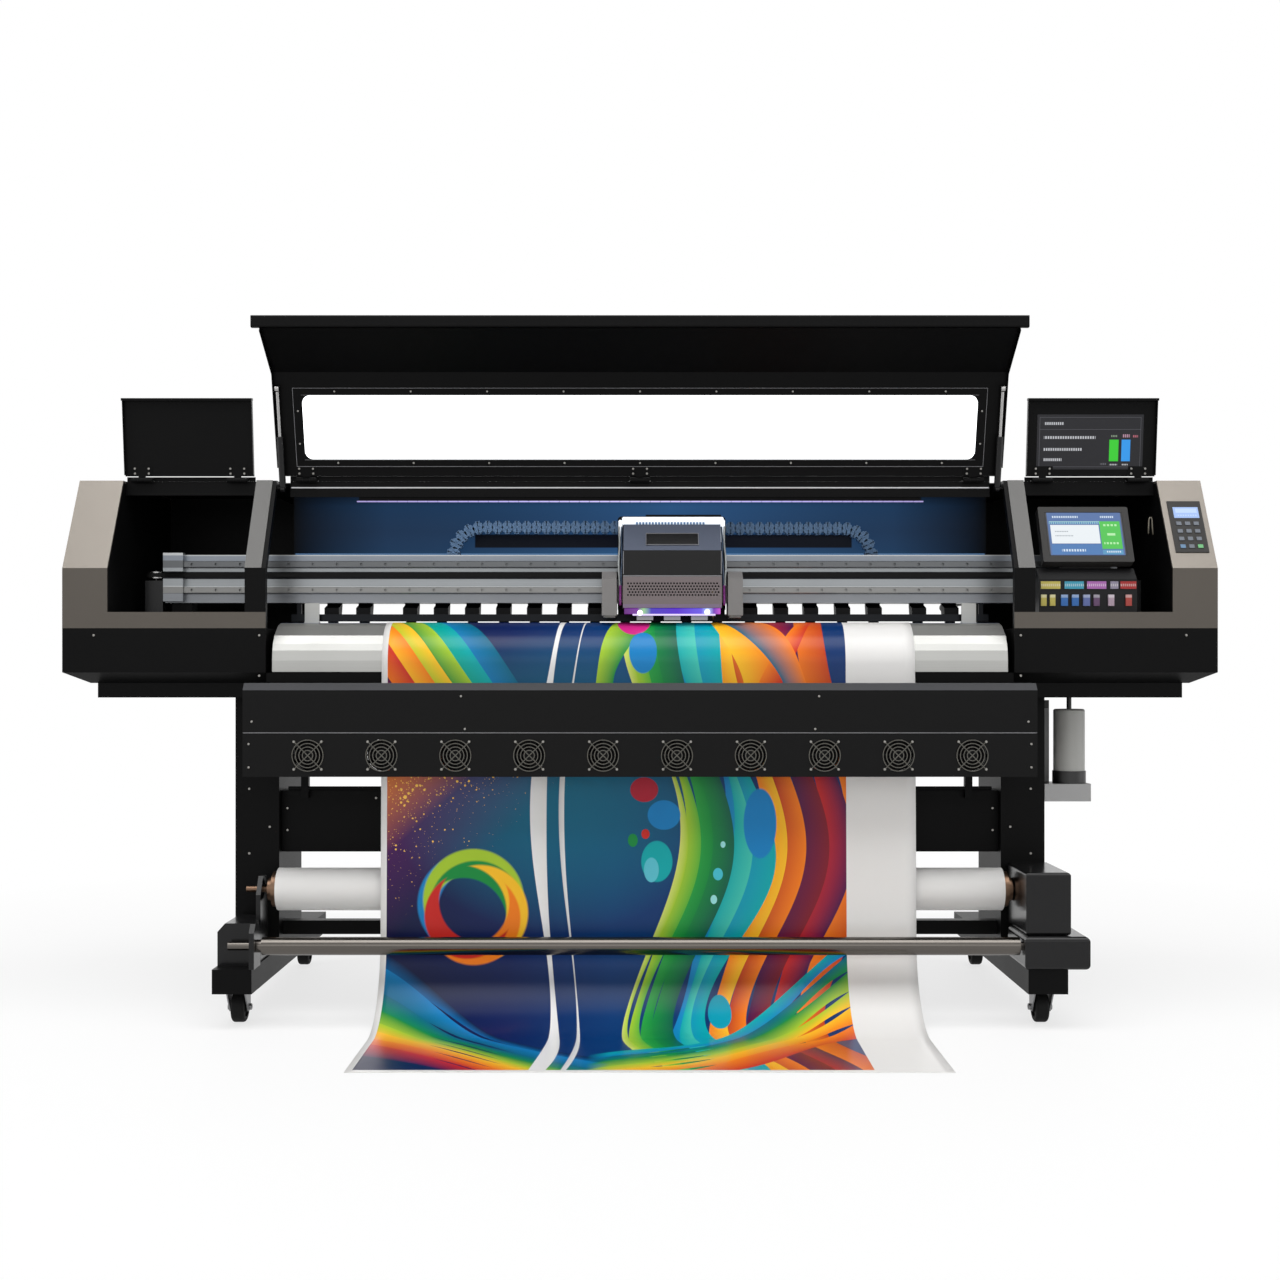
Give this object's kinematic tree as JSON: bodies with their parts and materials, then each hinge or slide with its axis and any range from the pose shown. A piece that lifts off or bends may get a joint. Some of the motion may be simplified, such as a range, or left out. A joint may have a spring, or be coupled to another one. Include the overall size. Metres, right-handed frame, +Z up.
{
  "type": "printer cutter",
  "caption": "Roll-fed wide-format printer cutter on a wheeled stand, with hinged covers, print carriage, dryer with fans, and take-up roll",
  "frame": {"origin": "on the floor, below the middle of the bounding box", "axes": "+X to the operator's right along the width, +Y to the rear, +Z up"},
  "size_m": [2.75, 1.324, 1.6614],
  "materials": {
    "black_steel": "satin black powder coat",
    "black_cover": "satin black fine texture",
    "champagne_paint": "satin warm grey metallic paint",
    "platen_aluminium": "brushed along the width",
    "anodised_aluminium": "fine extruded",
    "printed_vinyl": "printed film, slight sheen",
    "white_film": "smooth matt",
    "belt_rubber": "matt",
    "motor_black": "gloss black",
    "pulley_steel": "turned",
    "fan_plastic": "moulded",
    "arm_plastic": "moulded",
    "roller_rubber": "ground",
    "roller_steel": "ground",
    "spindle_brass": "turned",
    "stainless_tube": "brushed along its length",
    "bottle_plastic": "translucent polyethylene",
    "screen_plastic": "gloss bezel and glass",
    "console_plastic": "moulded",
    "keypad_plastic": "membrane",
    "carriage_plastic": "painted sheet",
    "lamp_plastic": "painted sheet",
    "head_metal": "bead blasted",
    "chain_plastic": "moulded",
    "clear_acrylic": "clear",
    "caster_steel": "zinc plated",
    "caster_tyre": "moulded"
  },
  "bodies": {
    "frame": {"stand_legs": "black_steel", "stand_crossbars": "black_steel", "bed_beam": "black_steel", "platen": "platen_aluminium", "print_media": "printed_vinyl", "rear_housing": "black_cover", "right_cabinet": "black_cover", "left_cabinet": "black_cover", "side_covers": "champagne_paint", "guide_beam": "anodised_aluminium", "drive_belt": "belt_rubber", "drive_motor": "motor_black", "dryer_housing": "black_cover", "fan_frames": "fan_plastic", "takeup_mounts": "motor_black", "waste_bottle": "bottle_plastic", "touch_screen": "screen_plastic", "ink_station": "console_plastic", "keypad": "keypad_plastic", "capping_station": "console_plastic"},
    "carriage": {"carriage_plate": "black_steel", "carriage_covers": "carriage_plastic", "curing_lamps": "lamp_plastic", "print_heads": "head_metal"},
    "knife": {"blade_holder": "spindle_brass"},
    "chains": {"chain_loops": "chain_plastic", "chain_upper": "chain_plastic"},
    "cover": {"cover_panel": "black_cover", "cover_window": "clear_acrylic"},
    "left_lid": {"left_lid": "black_cover"},
    "right_lid": {"right_lid": "black_cover"},
    "strut_cylinders": {"strut_cylinders": "motor_black"},
    "strut_rods": {"strut_rods": "roller_steel"},
    "pinch_lift": {"pinch_arms": "arm_plastic"},
    "pinch_rollers": {"pinch_rollers": "roller_rubber"},
    "grit_roller": {"grit_roller": "roller_steel"},
    "takeup": {"takeup_spindle": "spindle_brass", "takeup_roll": "white_film"},
    "tension_bar": {"tension_bar": "stainless_tube"},
    "supply": {"supply_roll": "white_film"},
    "motor_pulley": {"motor_pulley": "pulley_steel"},
    "idler_pulley": {"idler_pulley": "pulley_steel"},
    "fan_rotor_01": {"fan_rotor_01": "fan_plastic"},
    "fan_rotor_02": {"fan_rotor_02": "fan_plastic"},
    "fan_rotor_03": {"fan_rotor_03": "fan_plastic"},
    "fan_rotor_04": {"fan_rotor_04": "fan_plastic"},
    "fan_rotor_05": {"fan_rotor_05": "fan_plastic"},
    "fan_rotor_06": {"fan_rotor_06": "fan_plastic"},
    "fan_rotor_07": {"fan_rotor_07": "fan_plastic"},
    "fan_rotor_08": {"fan_rotor_08": "fan_plastic"},
    "fan_rotor_09": {"fan_rotor_09": "fan_plastic"},
    "fan_rotor_10": {"fan_rotor_10": "fan_plastic"},
    "fork_front_left": {"caster_fork_front_left": "caster_steel"},
    "wheel_front_left": {"caster_wheel_front_left": "caster_tyre"},
    "fork_rear_left": {"caster_fork_rear_left": "caster_steel"},
    "wheel_rear_left": {"caster_wheel_rear_left": "caster_tyre"},
    "fork_front_right": {"caster_fork_front_right": "caster_steel"},
    "wheel_front_right": {"caster_wheel_front_right": "caster_tyre"},
    "fork_rear_right": {"caster_fork_rear_right": "caster_steel"},
    "wheel_rear_right": {"caster_wheel_rear_right": "caster_tyre"}
  },
  "joints": [
    {"name": "carriage_slide", "type": "slide", "parent": "frame", "child": "carriage", "axis": [1, 0, 0], "range_m": [-1.113, 0.69]},
    {"name": "cover_hinge", "type": "hinge", "parent": "frame", "child": "cover", "pos_m": [0, -0.016, 1.302], "axis": [1, 0, 0], "range_deg": [0, 121]},
    {"name": "left_lid_hinge", "type": "hinge", "parent": "frame", "child": "left_lid", "pos_m": [0, -0.016, 1.302], "axis": [1, 0, 0], "range_deg": [0, 143.8]},
    {"name": "right_lid_hinge", "type": "hinge", "parent": "frame", "child": "right_lid", "pos_m": [0, -0.016, 1.302], "axis": [1, 0, 0], "range_deg": [0, 143.8]},
    {"name": "pinch_lift_hinge", "type": "hinge", "parent": "frame", "child": "pinch_lift", "pos_m": [0, 0.1, 1.012], "axis": [-1, 0, 0], "range_deg": [0, 8]},
    {"name": "knife_drop", "type": "slide", "parent": "carriage", "child": "knife", "axis": [0, 0, -1], "range_m": [0, 0.0055], "stiffness_N_per_m": 300, "springref_m": -0.003},
    {"name": "feed_spin", "type": "hinge", "parent": "frame", "child": "grit_roller", "pos_m": [0, 0.077, 0.9389], "axis": [1, 0, 0], "continuous": true},
    {"name": "takeup_spin", "type": "hinge", "parent": "frame", "child": "takeup", "pos_m": [0, -0.1, 0.308], "axis": [1, 0, 0], "continuous": true},
    {"name": "tension_bar_spin", "type": "hinge", "parent": "frame", "child": "tension_bar", "pos_m": [0, -0.23, 0.192], "axis": [1, 0, 0], "continuous": true},
    {"name": "supply_spin", "type": "hinge", "parent": "frame", "child": "supply", "pos_m": [0, 0.456, 0.62], "axis": [1, 0, 0], "continuous": true},
    {"name": "chain_follow", "type": "slide", "parent": "carriage", "child": "chains", "axis": [1, 0, 0], "range_m": [-0.346, 0.558], "deforming": ["chain_upper"]},
    {"name": "strut_swing", "type": "hinge", "parent": "frame", "child": "strut_cylinders", "pos_m": [0, -0.025, 1.28], "axis": [1, 0, 0], "range_deg": [0, 123.26]},
    {"name": "strut_stroke", "type": "slide", "parent": "strut_cylinders", "child": "strut_rods", "axis": [0, -0.2739, 0.9618], "range_m": [-0.04131, 0]},
    {"name": "pinch_spin", "type": "hinge", "parent": "pinch_lift", "child": "pinch_rollers", "pos_m": [0, 0.077, 0.9603], "axis": [1, 0, 0], "continuous": true},
    {"name": "motor_pulley_spin", "type": "hinge", "parent": "frame", "child": "motor_pulley", "pos_m": [1.207, 0.045, 1.071], "axis": [0, 0, 1], "range_deg": [-3300, 2000]},
    {"name": "idler_pulley_spin", "type": "hinge", "parent": "frame", "child": "idler_pulley", "pos_m": [-1.207, 0.045, 1.071], "axis": [0, 0, 1], "range_deg": [-3300, 2000]},
    {"name": "fan_spin_01", "type": "hinge", "parent": "frame", "child": "fan_rotor_01", "pos_m": [-0.77, -0.24, 0.6375], "axis": [0, 1, 0], "continuous": true},
    {"name": "fan_spin_02", "type": "hinge", "parent": "frame", "child": "fan_rotor_02", "pos_m": [-0.59889, -0.24, 0.6375], "axis": [0, 1, 0], "continuous": true},
    {"name": "fan_spin_03", "type": "hinge", "parent": "frame", "child": "fan_rotor_03", "pos_m": [-0.42778, -0.24, 0.6375], "axis": [0, 1, 0], "continuous": true},
    {"name": "fan_spin_04", "type": "hinge", "parent": "frame", "child": "fan_rotor_04", "pos_m": [-0.25667, -0.24, 0.6375], "axis": [0, 1, 0], "continuous": true},
    {"name": "fan_spin_05", "type": "hinge", "parent": "frame", "child": "fan_rotor_05", "pos_m": [-0.08556, -0.24, 0.6375], "axis": [0, 1, 0], "continuous": true},
    {"name": "fan_spin_06", "type": "hinge", "parent": "frame", "child": "fan_rotor_06", "pos_m": [0.08556, -0.24, 0.6375], "axis": [0, 1, 0], "continuous": true},
    {"name": "fan_spin_07", "type": "hinge", "parent": "frame", "child": "fan_rotor_07", "pos_m": [0.25667, -0.24, 0.6375], "axis": [0, 1, 0], "continuous": true},
    {"name": "fan_spin_08", "type": "hinge", "parent": "frame", "child": "fan_rotor_08", "pos_m": [0.42778, -0.24, 0.6375], "axis": [0, 1, 0], "continuous": true},
    {"name": "fan_spin_09", "type": "hinge", "parent": "frame", "child": "fan_rotor_09", "pos_m": [0.59889, -0.24, 0.6375], "axis": [0, 1, 0], "continuous": true},
    {"name": "fan_spin_10", "type": "hinge", "parent": "frame", "child": "fan_rotor_10", "pos_m": [0.77, -0.24, 0.6375], "axis": [0, 1, 0], "continuous": true},
    {"name": "swivel_front_left", "type": "hinge", "parent": "frame", "child": "fork_front_left", "pos_m": [-0.95, -0.18, 0.08], "axis": [0, 0, 1], "continuous": true},
    {"name": "swivel_rear_left", "type": "hinge", "parent": "frame", "child": "fork_rear_left", "pos_m": [-0.95, 0.59, 0.08], "axis": [0, 0, 1], "continuous": true},
    {"name": "swivel_front_right", "type": "hinge", "parent": "frame", "child": "fork_front_right", "pos_m": [0.95, -0.18, 0.08], "axis": [0, 0, 1], "continuous": true},
    {"name": "swivel_rear_right", "type": "hinge", "parent": "frame", "child": "fork_rear_right", "pos_m": [0.95, 0.59, 0.08], "axis": [0, 0, 1], "continuous": true},
    {"name": "roll_front_left", "type": "hinge", "parent": "fork_front_left", "child": "wheel_front_left", "pos_m": [-0.95, -0.156, 0.036], "axis": [1, 0, 0], "continuous": true},
    {"name": "roll_rear_left", "type": "hinge", "parent": "fork_rear_left", "child": "wheel_rear_left", "pos_m": [-0.95, 0.614, 0.036], "axis": [1, 0, 0], "continuous": true},
    {"name": "roll_front_right", "type": "hinge", "parent": "fork_front_right", "child": "wheel_front_right", "pos_m": [0.95, -0.156, 0.036], "axis": [1, 0, 0], "continuous": true},
    {"name": "roll_rear_right", "type": "hinge", "parent": "fork_rear_right", "child": "wheel_rear_right", "pos_m": [0.95, 0.614, 0.036], "axis": [1, 0, 0], "continuous": true}
  ],
  "couplings": [
    {"joint": "chain_follow", "follows": "carriage_slide", "ratio": -0.5},
    {"joint": "strut_swing", "follows": "cover_hinge", "ratio": 1.0145},
    {"joint": "strut_stroke", "follows": "cover_hinge", "m_per_rad": -0.019325},
    {"joint": "pinch_spin", "follows": "feed_spin", "ratio": -1.2222},
    {"joint": "motor_pulley_spin", "follows": "carriage_slide", "rad_per_m": 47.619},
    {"joint": "idler_pulley_spin", "follows": "carriage_slide", "rad_per_m": 47.619}
  ]
}
